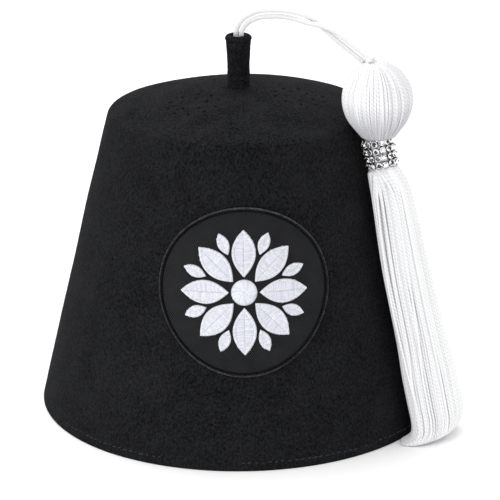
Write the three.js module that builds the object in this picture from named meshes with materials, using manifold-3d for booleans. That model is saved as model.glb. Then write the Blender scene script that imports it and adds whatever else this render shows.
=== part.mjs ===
// Fez hat: a hollow black felt crown with a stem on top, a round embroidered badge on the front,
// and a white tassel on a pair of stiff cords, which lies against the side with its end on the surface.
// Millimetres, +Z up. The origin is the middle of the head opening, on the surface that the rim stands
// on. The badge faces -Y, and the tassel hangs on the +X side, turned towards the front.
import * as THREE from "three";
import { mergeVertices } from "three/addons/utils/BufferGeometryUtils.js";
import Module from "manifold-3d";

const wasm = await Module();
wasm.setup();

// Clearances
const gap = 0.3; // between pieces that touch on the real hat
const floorGap = 0.2; // under the tassel's end
const past = 1.0; // how far a cutter runs past what it cuts

// Crown
const rimRadius = 95.0; // mean outer radius of the rim
const rimStretch = 1.9; // the rim is longer than round by this, front and back, and narrower at the sides
const cornerRadius = 59.65; // where the wall's line and the top's line meet
const cornerHeight = 137.7;
const shoulderRadius = 4.2; // rounding of that corner
const topEdgeSlope = THREE.MathUtils.degToRad(18.5); // the domed top's slope at its edge
const feltThickness = 2.5;
const crownSides = 48;

// Vent holes, pricked in three round groups
const ventGroups = 3;
const ventGroupRadius = 28.5; // from the stem to the middle of a group
const ventFirstAngle = THREE.MathUtils.degToRad(-137);
const ventRings = [
  { holes: 10, radius: 11.5 },
  { holes: 5, radius: 6.2 },
];
const ventDiameter = 1.1;
const ventSides = 5;

// Stem, a tube of rolled felt that the cords come out of
const stemHeight = 24.4; // above the top of the crown
const stemBelow = 2.0; // below the felt, inside
const stemBaseRadius = 5.05;
const stemTopRadius = 5.75;
const stemLip = 1.2; // rounding of the top edge
const stemSides = 20;

// Cords
const cordDiameter = 2.4;
const cordSides = 8;
const cordSteps = 20;
const cordBoreRadius = cordDiameter + gap / 2 + gap; // two cords side by side

// Badge, bent round the front wall
const badgeDiameter = 74.0;
const badgeHeight = 75.8; // of its middle above the rim
const groundThickness = 1.0;
const borderWidth = 1.7;
const borderThickness = 1.8;
const threadThickness = 0.9; // the white embroidery
const badgeSides = 40;
const petals = 8;
const petalStart = 7.0; // from the badge's middle
const petalEnd = 27.0;
const petalWidth = 10.0;
const leafStart = 18.0;
const leafEnd = 27.5;
const leafWidth = 4.6;
const rosetteCentreRadius = 5.6;
const rosetteCentreSides = 16;
const petalCurveSteps = 5;

// Tassel
const tasselAngle = THREE.MathUtils.degToRad(-29.5); // round the hat, from +X
const headRadius = 15.6; // of the ball
const headRise = 12.5; // of the ball's middle above the crown's corner
const headLean = THREE.MathUtils.degToRad(8); // its top leans towards the stem
const headCap = 15.3; // from the ball's middle up to its top
const headSides = 22;
const knotRadius = 1.9; // where the cords are tied in
const neckRadius = 5.4;
const neckSides = 14;

// Rhinestone band round the neck
const bandDrop = 24.0; // of its middle below the ball's middle
const bandRadius = 7.5; // over the stones
const bandWall = 0.7; // of the metal that joins the cups
const bandRows = 4;
const bandColumns = 14;
const stonePitch = 3.3; // from row to row
const stoneDiameter = 2.8;
const tableDiameter = 1.6;
const stoneSides = 8;
const cupShare = 0.5; // of the stone's standing height that its cup takes

// Skirt
const skirtHalfWidth = 17.0;
const skirtHalfDepth = 11.0;
const skirtSweep = 22.0; // how far its end is swept towards the front
const levelBelow = 0.25; // share of its height under which its sections turn level with the surface
const skirtLocks = 14;
const lockSides = 6;
const coreShare = 0.72; // of the skirt's section that the core under the locks fills
const coreSides = 12;
const lockFullness = 1.28; // of a lock against its share of the way round

// From the skirt's top down. height is a share of the top's height above the surface, stand, the
// section's middle from the wall, and depth are shares of the half depth, width of the half width,
// and sweep of the end's sweep.
const skirtSections = [
  { height: 1.0, stand: 0.74, width: 0.4, depth: 0.6, sweep: 0.0 },
  { height: 0.955, stand: 0.84, width: 0.5, depth: 0.75, sweep: 0.0 },
  { height: 0.88, stand: 0.86, width: 0.59, depth: 0.82, sweep: 0.01 },
  { height: 0.62, stand: 0.9, width: 0.72, depth: 0.86, sweep: 0.08 },
  { height: 0.37, stand: 0.95, width: 0.87, depth: 0.91, sweep: 0.2 },
  { height: 0.245, stand: 1.0, width: 0.97, depth: 0.96, sweep: 0.25 },
  { height: 0.14, stand: 1.01, width: 1.0, depth: 0.98, sweep: 0.27 },
  { height: 0.078, stand: 1.0, width: 0.99, depth: 0.97, sweep: 0.29 },
  { height: 0.036, stand: 0.91, width: 0.92, depth: 0.88, sweep: 0.38 },
  { height: 0.014, stand: 0.68, width: 0.74, depth: 0.66, sweep: 0.62 },
  { height: 0.0, stand: 0.2, width: 0.34, depth: 0.34, sweep: 1.0 },
];

// The cords' routes, chosen by hand, in the upright plane of the tassel: outwards from the stem's axis,
// sideways, upwards. They cross once on the way.
const cordRoutes = [
  [
    [-1.4, 0.0, 160.0], [-1.4, 0.0, 163.7], [-1.4, 0.0, 167.4], [-1.3, 0.0, 171.2],
    [-0.5, 0.0, 175.2], [1.7, 0.0, 178.7], [4.8, 0.0, 181.3], [8.3, 0.0, 183.1],
    [12.0, 0.0, 184.3], [15.8, 0.0, 185.0], [19.5, 0.0, 185.4], [23.3, 0.0, 185.6],
    [27.1, 0.1, 185.4], [30.9, 0.4, 184.9], [34.5, 0.9, 183.9], [38.0, 1.4, 182.3],
    [41.1, 1.4, 180.2], [44.2, 0.8, 178.1], [47.3, 0.3, 176.2], [50.4, 0.0, 174.3],
    [53.5, 0.0, 172.4], [56.6, 0.0, 170.4], [59.7, 0.0, 168.4], [62.9, 0.0, 166.4],
  ],
  [
    [1.4, 0.0, 160.0], [1.4, 0.0, 163.7], [1.4, 0.0, 167.4], [1.4, 0.0, 170.9],
    [2.1, 0.0, 174.2], [3.8, 0.0, 176.9], [6.3, 0.0, 179.1], [9.3, 0.0, 180.6],
    [12.7, 0.0, 181.7], [16.2, 0.0, 182.3], [19.7, 0.0, 182.7], [23.3, 0.0, 182.8],
    [26.9, -0.1, 182.6], [30.5, -0.4, 182.2], [34.1, -0.9, 181.7], [37.8, -1.4, 181.4],
    [41.5, -1.4, 181.1], [45.1, -0.8, 180.1], [48.6, -0.3, 178.6], [51.8, 0.0, 176.7],
    [55.0, 0.0, 174.8], [58.1, 0.0, 172.9], [61.3, 0.0, 170.8], [64.8, 0.0, 168.6],
  ],
];

// Sizes that follow from the ones above
const wallSlope = Math.atan2(rimRadius - cornerRadius, cornerHeight);
const wallNormal = new THREE.Vector2(Math.cos(wallSlope), Math.sin(wallSlope));
const shoulderTurn = Math.PI / 2 - wallSlope - topEdgeSlope;
const shoulderCut = shoulderRadius * Math.tan(shoulderTurn / 2);
const shoulderCentre = new THREE.Vector2(cornerRadius, cornerHeight)
  .add(new THREE.Vector2(Math.sin(wallSlope), -Math.cos(wallSlope)).multiplyScalar(shoulderCut))
  .addScaledVector(wallNormal, -shoulderRadius);
const topEdge = new THREE.Vector2(Math.sin(topEdgeSlope), Math.cos(topEdgeSlope))
  .multiplyScalar(shoulderRadius)
  .add(shoulderCentre);
const domeRadius = topEdge.x / Math.sin(topEdgeSlope);
const domeCentre = topEdge.y - domeRadius * Math.cos(topEdgeSlope);
const crownHeight = domeCentre + domeRadius;
const stemTop = crownHeight + stemHeight;

// Materials
const felt = new THREE.MeshStandardMaterial({ color: 0x17181a, roughness: 0.95, metalness: 0 });
const twill = new THREE.MeshStandardMaterial({ color: 0x1e1f22, roughness: 0.85, metalness: 0 });
const borderThread = new THREE.MeshStandardMaterial({ color: 0x26282c, roughness: 0.6, metalness: 0 });
const whiteThread = new THREE.MeshStandardMaterial({ color: 0xf2f2f4, roughness: 0.5, metalness: 0 });
const rayon = new THREE.MeshStandardMaterial({ color: 0xf6f6f8, roughness: 0.45, metalness: 0 });
const crystal = new THREE.MeshStandardMaterial({ color: 0xc9ccd2, roughness: 0.15, metalness: 0.9 });

// A closed geometry as a solid for cutting and joining
function solidOf(geometry) {
  const bare = geometry.clone();
  bare.deleteAttribute("normal");
  bare.deleteAttribute("uv");
  const merged = mergeVertices(bare, 1e-4);
  return new wasm.Manifold(
    new wasm.Mesh({
      numProp: 3,
      vertProperties: new Float32Array(merged.attributes.position.array),
      triVerts: new Uint32Array(merged.index.array),
    }),
  );
}

// A solid as a geometry for a mesh
function geometryOf(solid) {
  const mesh = solid.getMesh();
  const geometry = new THREE.BufferGeometry();
  geometry.setAttribute("position", new THREE.BufferAttribute(new Float32Array(mesh.vertProperties), 3));
  geometry.setIndex(new THREE.BufferAttribute(new Uint32Array(mesh.triVerts), 1));
  geometry.computeVertexNormals();
  return geometry;
}

// A profile of [radius, height] pairs turned round the Z axis
function turned(profile, sides) {
  const points = profile.map(([radius, height]) => new THREE.Vector2(radius, height));
  return new THREE.LatheGeometry(points, sides).rotateX(Math.PI / 2);
}

// A closed skin over rings of points, with a middle point at each end
function lofted(rings) {
  const sides = rings[0].length;
  const middle = (ring) =>
    ring.reduce((sum, point) => sum.add(point), new THREE.Vector3()).multiplyScalar(1 / ring.length);
  const points = [...rings.flat(), middle(rings[0]), middle(rings.at(-1))];
  const firstMiddle = points.length - 2;
  const lastMiddle = points.length - 1;
  const lastRing = (rings.length - 1) * sides;
  const faces = [];
  for (let side = 0; side < sides; side += 1) {
    const next = (side + 1) % sides;
    for (let row = 0; row + 1 < rings.length; row += 1) {
      const a = row * sides + side;
      const b = row * sides + next;
      faces.push(a, b, a + sides, b, b + sides, a + sides);
    }
    faces.push(firstMiddle, next, side);
    faces.push(lastMiddle, lastRing + side, lastRing + next);
  }
  const geometry = new THREE.BufferGeometry().setFromPoints(points);
  geometry.setIndex(faces);
  return geometry;
}

function piece(name, geometry, material) {
  const mesh = new THREE.Mesh(geometry, material);
  mesh.name = name;
  return mesh;
}

// The rim is a little longer than round, and this fades out up the wall
function ovalled(geometry) {
  const position = geometry.attributes.position;
  for (let i = 0; i < position.count; i += 1) {
    const fade = 1 - Math.min(1, position.getZ(i) / cornerHeight);
    const share = (rimStretch / rimRadius) * fade;
    position.setXY(i, position.getX(i) * (1 - share), position.getY(i) * (1 + share));
  }
  return geometry;
}

// The crown's outline at a depth inside its outer face, from the rim up to the axis
function crownLine(depth, shoulderSteps, domeSteps) {
  const line = [[rimRadius - depth / wallNormal.x, 0]];
  const rounding = shoulderRadius - depth;
  for (let i = 0; i <= shoulderSteps; i += 1) {
    const angle = wallSlope + (shoulderTurn * i) / shoulderSteps;
    const x = shoulderCentre.x + rounding * Math.cos(angle);
    line.push([x, shoulderCentre.y + rounding * Math.sin(angle)]);
  }
  for (let i = 1; i <= domeSteps; i += 1) {
    const angle = topEdgeSlope * (1 - i / domeSteps);
    const radius = domeRadius - depth;
    line.push([radius * Math.sin(angle), domeCentre + radius * Math.cos(angle)]);
  }
  return line;
}

function domeHeight(radius) {
  return domeCentre + Math.sqrt(domeRadius ** 2 - radius ** 2);
}

// A round cutter through the top, square to the felt there
function topCutter(x, y, radius, sides) {
  const reach = feltThickness + 2 * past;
  const cutter = new THREE.CylinderGeometry(radius, radius, reach, sides).rotateX(Math.PI / 2);
  const height = domeHeight(Math.hypot(x, y));
  const outwards = new THREE.Vector3(x, y, height - domeCentre).normalize();
  cutter.applyQuaternion(new THREE.Quaternion().setFromUnitVectors(new THREE.Vector3(0, 0, 1), outwards));
  const middle = new THREE.Vector3(x, y, height).addScaledVector(outwards, -feltThickness / 2);
  return solidOf(cutter.translate(middle.x, middle.y, middle.z));
}

function ventPlaces() {
  const places = [];
  for (let group = 0; group < ventGroups; group += 1) {
    const groupAngle = ventFirstAngle + (2 * Math.PI * group) / ventGroups;
    for (const { holes, radius } of ventRings) {
      for (let hole = 0; hole < holes; hole += 1) {
        const angle = groupAngle + (2 * Math.PI * hole) / holes;
        const x = ventGroupRadius * Math.cos(groupAngle) + radius * Math.cos(angle);
        const y = ventGroupRadius * Math.sin(groupAngle) + radius * Math.sin(angle);
        places.push([x, y]);
      }
    }
  }
  return places;
}

function makeCrown() {
  const outside = crownLine(0, 3, 3);
  const inside = crownLine(feltThickness, 1, 2).reverse();
  let crown = solidOf(ovalled(turned([...outside, ...inside, outside[0]], crownSides)));
  for (const [x, y] of ventPlaces()) {
    crown = crown.subtract(topCutter(x, y, ventDiameter / 2, ventSides));
  }
  crown = crown.subtract(topCutter(0, 0, stemBaseRadius + gap, stemSides));
  return piece("crown", geometryOf(crown), felt);
}

function makeStem() {
  const bottom = crownHeight - feltThickness - stemBelow;
  const profile = [
    [cordBoreRadius, bottom],
    [stemBaseRadius, bottom],
    [stemBaseRadius, crownHeight + past],
    [stemTopRadius, stemTop - 2 * stemLip],
    [stemTopRadius - stemLip * 0.25, stemTop - stemLip * 0.4],
    [stemTopRadius - stemLip, stemTop],
    [cordBoreRadius + stemLip * 0.4, stemTop - stemLip * 0.15],
    [cordBoreRadius, stemTop - stemLip],
    [cordBoreRadius, bottom],
  ];
  return piece("stem", geometryOf(solidOf(turned(profile, stemSides))), felt);
}

// A layer that follows the front wall, between two heights above the felt
function wallLayer(low, high) {
  const line = (lift) => [
    [rimRadius + lift / wallNormal.x, 0],
    [cornerRadius + lift / wallNormal.x, cornerHeight],
  ];
  const profile = [...line(high), ...line(low).reverse()];
  return solidOf(ovalled(turned([...profile, profile[0]], crownSides)));
}

// An outline drawn on the badge, right and up from its middle, cut out of a layer of the wall
function onBadge(shape, low, high) {
  const reach = badgeDiameter / 4;
  const prism = new THREE.ExtrudeGeometry(shape, {
    depth: 1.4 * reach,
    bevelEnabled: false,
    curveSegments: badgeSides,
  });
  prism.translate(0, 0, -reach).rotateX(Math.PI / 2 - wallSlope);
  const frontRadius = rimRadius - badgeHeight * Math.tan(wallSlope);
  prism.translate(0, -frontRadius, badgeHeight);
  return geometryOf(wallLayer(low, high).intersect(solidOf(prism)));
}

// A pointed leaf that points away from the badge's middle
function leafShape(start, end, width, angle) {
  const along = new THREE.Vector2(Math.cos(angle), Math.sin(angle));
  const across = new THREE.Vector2(-along.y, along.x);
  const place = (distance, side) => along.clone().multiplyScalar(distance).addScaledVector(across, side);
  const tip = place(end, 0);
  const root = place(start, 0);
  const middle = (start + end) / 2;
  const sides = [place(middle, width), place(middle, -width)];
  const rightSide = new THREE.QuadraticBezierCurve(root, sides[1], tip).getPoints(petalCurveSteps);
  const leftSide = new THREE.QuadraticBezierCurve(tip, sides[0], root).getPoints(petalCurveSteps);
  return new THREE.Shape([...rightSide, ...leftSide.slice(1, -1)]);
}

function circleShape(radius, sides) {
  return new THREE.Shape(new THREE.Path().absarc(0, 0, radius, 0, 2 * Math.PI).getPoints(sides / 2));
}

function makeBadge() {
  const badge = new THREE.Group();
  const groundRadius = badgeDiameter / 2 - borderWidth - gap;
  const ground = circleShape(groundRadius, badgeSides);
  badge.add(piece("badge_ground", onBadge(ground, gap, gap + groundThickness), twill));
  const ring = circleShape(badgeDiameter / 2, badgeSides);
  ring.holes.push(circleShape(groundRadius + gap, badgeSides));
  badge.add(piece("badge_border", onBadge(ring, gap, gap + borderThickness), borderThread));
  const low = gap + groundThickness + gap;
  const high = low + threadThickness;
  for (let i = 0; i < petals; i += 1) {
    const angle = Math.PI / 2 - (2 * Math.PI * i) / petals;
    const petal = leafShape(petalStart, petalEnd, petalWidth, angle);
    badge.add(piece(`rosette_petal_${i + 1}`, onBadge(petal, low, high), whiteThread));
    const leaf = leafShape(leafStart, leafEnd, leafWidth, angle - Math.PI / petals);
    badge.add(piece(`rosette_leaf_${i + 1}`, onBadge(leaf, low, high), whiteThread));
  }
  const centre = circleShape(rosetteCentreRadius, rosetteCentreSides);
  badge.add(piece("rosette_centre", onBadge(centre, low, high), whiteThread));
  return badge;
}

function makeCord(route, name) {
  const path = new THREE.CatmullRomCurve3(route.map((point) => new THREE.Vector3(...point)));
  const section = new THREE.Shape();
  for (let side = 0; side < cordSides; side += 1) {
    const angle = (2 * Math.PI * side) / cordSides;
    const x = (cordDiameter / 2) * Math.cos(angle);
    const y = (cordDiameter / 2) * Math.sin(angle);
    if (side === 0) section.moveTo(x, y);
    else section.lineTo(x, y);
  }
  section.closePath();
  const tube = new THREE.ExtrudeGeometry(section, { steps: cordSteps, extrudePath: path });
  return piece(name, tube, rayon);
}

// Places in the tassel's upright plane: x outwards from the hat's axis, y up
const headHeight = cornerHeight + headRise;
const headReach = shoulderRadius + gap + headRadius;
const headCentre = new THREE.Vector2(
  shoulderCentre.x + Math.sqrt(headReach ** 2 - (headHeight - shoulderCentre.y) ** 2),
  headHeight,
);
const bandHeight = headHeight - bandDrop;
const bandHalfHeight = (bandRows * stonePitch) / 2;
const skirtTop = bandHeight - (bandHalfHeight + gap) / wallNormal.x;

// From the ball's middle down to its foot, which leans a little less than the band it stands on
const headNeck = bandDrop - bandHalfHeight - 4 * gap;

// The wall's outer radius at a height, on the tassel's side
function wallRadius(height) {
  const round = rimRadius - height * Math.tan(wallSlope);
  const share = (rimStretch / rimRadius) * (1 - Math.min(1, height / cornerHeight));
  return round * (1 - share * Math.cos(2 * tasselAngle));
}

const bandCentre = new THREE.Vector2(
  wallRadius(bandHeight) + (bandRadius + gap) / wallNormal.x,
  bandHeight,
);

// The skirt's section: its middle and half sizes at each row of the table
function skirtRows() {
  return skirtSections.map(({ height, stand, width, depth, sweep }) => {
    const z = floorGap + height * (skirtTop - floorGap);
    return {
      out: wallRadius(z) + (gap + stand * skirtHalfDepth) / wallNormal.x,
      side: -sweep * skirtSweep,
      height: z,
      halfWidth: width * skirtHalfWidth,
      halfDepth: depth * skirtHalfDepth,
      tilt: Math.tan(wallSlope) * Math.min(1, height / levelBelow),
    };
  });
}

function skirtPoint(row, angle, share) {
  const x = row.out + share * row.halfDepth * Math.cos(angle);
  const y = row.side + share * row.halfWidth * Math.sin(angle);
  return new THREE.Vector3(x, y, row.height + row.tilt * (x - row.out));
}

// One lock of strands, lying on the skirt's outline at an angle round it
function makeLock(rows, angle) {
  const rings = rows.map((row) => {
    const wayRound = Math.PI * (row.halfWidth + row.halfDepth);
    const radius = (lockFullness * wayRound) / skirtLocks / 2;
    const share = 1 - radius / Math.min(row.halfWidth, row.halfDepth);
    const centre = skirtPoint(row, angle, Math.max(0, share));
    const reach = skirtPoint(row, angle, 1).distanceTo(centre);
    const turn = Math.atan2(row.halfWidth * Math.sin(angle), row.halfDepth * Math.cos(angle));
    const ring = [];
    for (let side = 0; side < lockSides; side += 1) {
      const around = turn + (2 * Math.PI * side) / lockSides;
      const x = centre.x + reach * Math.cos(around);
      const z = centre.z + row.tilt * (x - centre.x);
      ring.push(new THREE.Vector3(x, centre.y + reach * Math.sin(around), z));
    }
    return ring;
  });
  return solidOf(lofted(rings.reverse()));
}

function makeSkirt() {
  const rows = skirtRows();
  const coreRings = rows.map((row) => {
    const ring = [];
    for (let side = 0; side < coreSides; side += 1) {
      ring.push(skirtPoint(row, (2 * Math.PI * side) / coreSides, coreShare));
    }
    return ring;
  });
  let skirt = solidOf(lofted(coreRings.reverse()));
  for (let lock = 0; lock < skirtLocks; lock += 1) {
    skirt = skirt.add(makeLock(rows, (2 * Math.PI * (lock + 0.5)) / skirtLocks));
  }
  return skirt;
}

// The ball, a pear that narrows to the neck. along is a share of the cap above its middle and of the
// neck below it, and radius a share of the ball's.
const headProfile = [
  { along: -1.0, radius: 0.46 },
  { along: -0.8, radius: 0.59 },
  { along: -0.58, radius: 0.79 },
  { along: -0.32, radius: 0.94 },
  { along: 0.0, radius: 1.0 },
  { along: 0.34, radius: 0.94 },
  { along: 0.64, radius: 0.77 },
  { along: 0.86, radius: 0.51 },
  { along: 0.97, radius: 0.22 },
];

// Joins the ball's foot to the skirt's top, through the band
function makeNeck() {
  const foot = new THREE.Vector2(Math.sin(headLean), -Math.cos(headLean)).multiplyScalar(headNeck - past);
  const top = headCentre.clone().add(foot);
  const places = [
    new THREE.Vector2(skirtRows()[1].out, skirtRows()[1].height),
    new THREE.Vector2(bandCentre.x, bandCentre.y).sub(bandHalf()),
    new THREE.Vector2(bandCentre.x, bandCentre.y).add(bandHalf()),
    top,
  ];
  const rings = places.map((place) => {
    const ring = [];
    for (let side = 0; side < neckSides; side += 1) {
      const angle = (2 * Math.PI * side) / neckSides;
      const x = place.x + neckRadius * Math.cos(angle) * wallNormal.x;
      const z = place.y + neckRadius * Math.cos(angle) * wallNormal.y;
      ring.push(new THREE.Vector3(x, neckRadius * Math.sin(angle), z));
    }
    return ring;
  });
  return solidOf(lofted(rings));
}

// Half of the band's height, as a step up along its axis, which is parallel to the wall
function bandHalf() {
  return new THREE.Vector2(-wallNormal.y, wallNormal.x).multiplyScalar(bandHalfHeight);
}

function makeTassel() {
  const outline = headProfile.map(({ along, radius }) => {
    const reach = along < 0 ? headNeck : headCap;
    return [radius * headRadius, along * reach];
  });
  const ball = turned([[0, -headNeck], ...outline, [0, headCap]], headSides);
  ball.rotateY(-headLean).translate(headCentre.x, 0, headCentre.y);
  const knot = new THREE.SphereGeometry(knotRadius, 10, 6);
  const pole = new THREE.Vector2(-Math.sin(headLean), Math.cos(headLean)).multiplyScalar(headCap).add(headCentre);
  knot.translate(pole.x, 0, pole.y);
  const tassel = makeSkirt().add(makeNeck()).add(solidOf(ball)).add(solidOf(knot));
  return piece("tassel", geometryOf(tassel), rayon);
}

// A cut stone in its cup, standing on the band along +X
function makeStone() {
  const foot = bandRadius - stoneStand();
  const cupTop = foot + cupShare * stoneStand();
  const stone = turned(
    [
      [0, foot - bandWall / 2],
      [stoneDiameter / 2, foot - bandWall / 2],
      [stoneDiameter / 2, cupTop],
      [tableDiameter / 2, bandRadius],
      [0, bandRadius],
    ],
    stoneSides,
  );
  return solidOf(stone.rotateZ(Math.PI / stoneSides).rotateY(Math.PI / 2));
}

// How far a stone stands over the metal that joins the cups
function stoneStand() {
  return bandRadius - bandWall - neckRadius - gap;
}

function makeBand() {
  const inner = neckRadius + gap;
  const outer = inner + bandWall;
  const [low, high] = [-bandHalfHeight, bandHalfHeight];
  const ring = [[inner, low], [outer, low], [outer, high], [inner, high], [inner, low]];
  let band = solidOf(turned(ring, bandColumns));
  const stone = makeStone();
  for (let row = 0; row < bandRows; row += 1) {
    const height = (row - (bandRows - 1) / 2) * stonePitch;
    for (let column = 0; column < bandColumns; column += 1) {
      band = band.add(stone.rotate([0, 0, (360 * column) / bandColumns]).translate([0, 0, height]));
    }
  }
  const mesh = piece("rhinestone_band", geometryOf(band), crystal);
  mesh.position.set(bandCentre.x, 0, bandCentre.y);
  mesh.rotation.y = -wallSlope;
  return mesh;
}

const fez = new THREE.Group();
fez.add(makeCrown(), makeStem(), makeBadge());

const tasselSide = new THREE.Group();
tasselSide.rotation.z = tasselAngle;
cordRoutes.forEach((route, i) => tasselSide.add(makeCord(route, `tassel_cord_${i + 1}`)));
tasselSide.add(makeTassel(), makeBand());
fez.add(tasselSide);

export default fez;
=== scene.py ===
# Fez hat: the looks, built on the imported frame. Every place in the frame is in metres. Shapes are worked
# out in millimetres, as the part's own sizes are, and turned into metres where a mesh is made.
import math

import bpy
import numpy as np
from mathutils import Matrix, Vector, noise


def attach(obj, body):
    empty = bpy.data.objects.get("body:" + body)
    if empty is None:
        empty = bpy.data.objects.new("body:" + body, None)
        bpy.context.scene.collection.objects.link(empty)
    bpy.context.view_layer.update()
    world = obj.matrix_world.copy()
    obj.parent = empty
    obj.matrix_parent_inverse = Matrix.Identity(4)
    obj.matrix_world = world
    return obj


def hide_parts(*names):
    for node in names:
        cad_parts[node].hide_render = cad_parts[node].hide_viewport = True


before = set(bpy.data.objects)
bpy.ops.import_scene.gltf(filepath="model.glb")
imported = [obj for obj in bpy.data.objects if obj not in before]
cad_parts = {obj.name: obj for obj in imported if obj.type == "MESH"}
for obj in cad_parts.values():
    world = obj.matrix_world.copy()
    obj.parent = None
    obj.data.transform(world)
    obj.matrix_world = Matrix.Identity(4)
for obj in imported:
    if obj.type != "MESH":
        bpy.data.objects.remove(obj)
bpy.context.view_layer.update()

MM = 0.001
TURN = 2 * math.pi
rng = np.random.default_rng(7)

# Sizes of the crown, in mm, as the part has them
RIM_RADIUS = 95.0
RIM_STRETCH = 1.9
CORNER_RADIUS = 59.65
CORNER_HEIGHT = 137.7
SHOULDER_RADIUS = 4.2
TOP_EDGE_SLOPE = math.radians(18.5)
FELT = 2.5
GAP = 0.3
FLOOR_GAP = 0.2
STEM_HEIGHT = 24.4
STEM_BELOW = 2.0
STEM_BASE_RADIUS = 5.05
STEM_TOP_RADIUS = 5.75
CORD_BORE_RADIUS = 2.85
VENT_GROUPS = 3
VENT_GROUP_RADIUS = 28.5
VENT_FIRST_ANGLE = math.radians(-137)
VENT_RINGS = ((10, 11.5), (5, 6.2))
VENT_DIAMETER = 1.1

# Tassel
TASSEL_ANGLE = math.radians(-29.5)
CORD_DIAMETER = 2.4
HEAD_RADIUS = 15.6
HEAD_RISE = 12.5
NECK_RADIUS = 5.4
BAND_DROP = 24.0
BAND_RADIUS = 7.5
BAND_ROWS = 4
BAND_COLUMNS = 14
STONE_PITCH = 3.3
STONE_DIAMETER = 2.8
SKIRT_HALF_WIDTH = 17.0
SKIRT_HALF_DEPTH = 11.0
SKIRT_SWEEP = 22.0
SKIRT_LOCKS = 14
LEVEL_BELOW = 0.25

# Badge
BADGE_DIAMETER = 74.0
BADGE_HEIGHT = 75.8
BORDER_WIDTH = 1.7
BORDER_THICKNESS = 1.8
GROUND_THICKNESS = 1.0
PETALS = 8
PETAL = (7.0, 27.0, 10.0)  # start, end and width
LEAF = (18.0, 27.5, 4.6)
ROSETTE_CENTRE = 5.6

# Worked out from the sizes
WALL_SLOPE = math.atan2(RIM_RADIUS - CORNER_RADIUS, CORNER_HEIGHT)
WALL_OUT, WALL_UP = math.cos(WALL_SLOPE), math.sin(WALL_SLOPE)
SHOULDER_TURN = math.pi / 2 - WALL_SLOPE - TOP_EDGE_SLOPE
SHOULDER_CUT = SHOULDER_RADIUS * math.tan(SHOULDER_TURN / 2)
SHOULDER_X = CORNER_RADIUS + SHOULDER_CUT * WALL_UP - SHOULDER_RADIUS * WALL_OUT
SHOULDER_Z = CORNER_HEIGHT - SHOULDER_CUT * WALL_OUT - SHOULDER_RADIUS * WALL_UP
TOP_EDGE_X = SHOULDER_X + SHOULDER_RADIUS * math.sin(TOP_EDGE_SLOPE)
TOP_EDGE_Z = SHOULDER_Z + SHOULDER_RADIUS * math.cos(TOP_EDGE_SLOPE)
DOME_RADIUS = TOP_EDGE_X / math.sin(TOP_EDGE_SLOPE)
DOME_CENTRE = TOP_EDGE_Z - DOME_RADIUS * math.cos(TOP_EDGE_SLOPE)
CROWN_HEIGHT = DOME_CENTRE + DOME_RADIUS

HEAD_Z = CORNER_HEIGHT + HEAD_RISE
HEAD_REACH = SHOULDER_RADIUS + GAP + HEAD_RADIUS
HEAD_X = SHOULDER_X + math.sqrt(HEAD_REACH**2 - (HEAD_Z - SHOULDER_Z) ** 2)
BAND_HALF = BAND_ROWS * STONE_PITCH / 2
BAND_Z = HEAD_Z - BAND_DROP
HEAD_NECK = BAND_DROP - BAND_HALF - 4 * GAP
SKIRT_TOP = BAND_Z - (BAND_HALF + GAP) / WALL_OUT


# Camera, found by fitting the crown's outline to the photograph, in degrees and metres
def add_camera():
    azimuth, elevation, roll = (math.radians(a) for a in (-1.43, 18.61, -0.436))
    distance, pan, aim_height = 1.2093, 0.004575, 0.06957
    focal_pixels, frame_pixels, sensor = 2609.7, 500, 36.0
    along = Vector((math.cos(azimuth), math.sin(azimuth), 0))
    back = Vector(
        (
            math.sin(azimuth) * math.cos(elevation),
            -math.cos(azimuth) * math.cos(elevation),
            math.sin(elevation),
        )
    )
    place = along * pan + Vector((0, 0, aim_height)) + back * distance
    flat_up = back.cross(along)
    right = along * math.cos(roll) + flat_up * math.sin(roll)
    up = flat_up * math.cos(roll) - along * math.sin(roll)
    data = bpy.data.cameras.new("camera")
    data.sensor_fit = "HORIZONTAL"
    data.sensor_width = sensor
    data.lens = focal_pixels / frame_pixels * sensor
    data.clip_start = 0.05
    camera = bpy.data.objects.new("camera", data)
    camera.matrix_world = Matrix(
        (
            (right.x, up.x, back.x, place.x),
            (right.y, up.y, back.y, place.y),
            (right.z, up.z, back.z, place.z),
            (0, 0, 0, 1),
        )
    )
    bpy.context.scene.collection.objects.link(camera)
    bpy.context.scene.camera = camera


add_camera()


# Mesh making
def piece(name, points, faces, material, smooth=True, uv=None, shade=None):
    """A piece from points in mm. faces is a list of arrays, each of faces with one number of corners.
    uv holds a pair for each corner, in the faces' order, and shade a number for each point."""
    mesh = bpy.data.meshes.new(name)
    points = np.asarray(points, float).reshape(-1, 3) * MM
    faces = [np.asarray(f, int) for f in faces if len(f)]
    sizes = np.concatenate([np.full(len(f), f.shape[1]) for f in faces])
    corners = np.concatenate([f.ravel() for f in faces])
    mesh.vertices.add(len(points))
    mesh.vertices.foreach_set("co", points.astype(np.float32).ravel())
    mesh.loops.add(len(corners))
    mesh.loops.foreach_set("vertex_index", corners.astype(np.int32))
    mesh.polygons.add(len(sizes))
    starts = np.concatenate([[0], np.cumsum(sizes)[:-1]])
    mesh.polygons.foreach_set("loop_start", starts.astype(np.int32))
    mesh.update(calc_edges=True)
    mesh.validate()
    if smooth:
        mesh.shade_smooth()
    if uv is not None:
        mesh.uv_layers.new(name="Strand").uv.foreach_set("vector", np.asarray(uv, np.float32).ravel())
    if shade is not None:
        layer = mesh.attributes.new("shade", "FLOAT", "POINT")
        layer.data.foreach_set("value", np.asarray(shade, np.float32).ravel())
    mesh.materials.append(material)
    found = bpy.data.objects.new(name, mesh)
    bpy.context.scene.collection.objects.link(found)
    return found


def dressed(name, node, slot_name, points, faces, material, **looks):
    """A piece that rides on the hat and stands for its node; slot_name is not used."""
    found = piece(name, points, faces, material, **looks)
    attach(found, "root")
    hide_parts(node)
    return found


START_SPREAD = 10  # mm over which each tube's pattern may start


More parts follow.
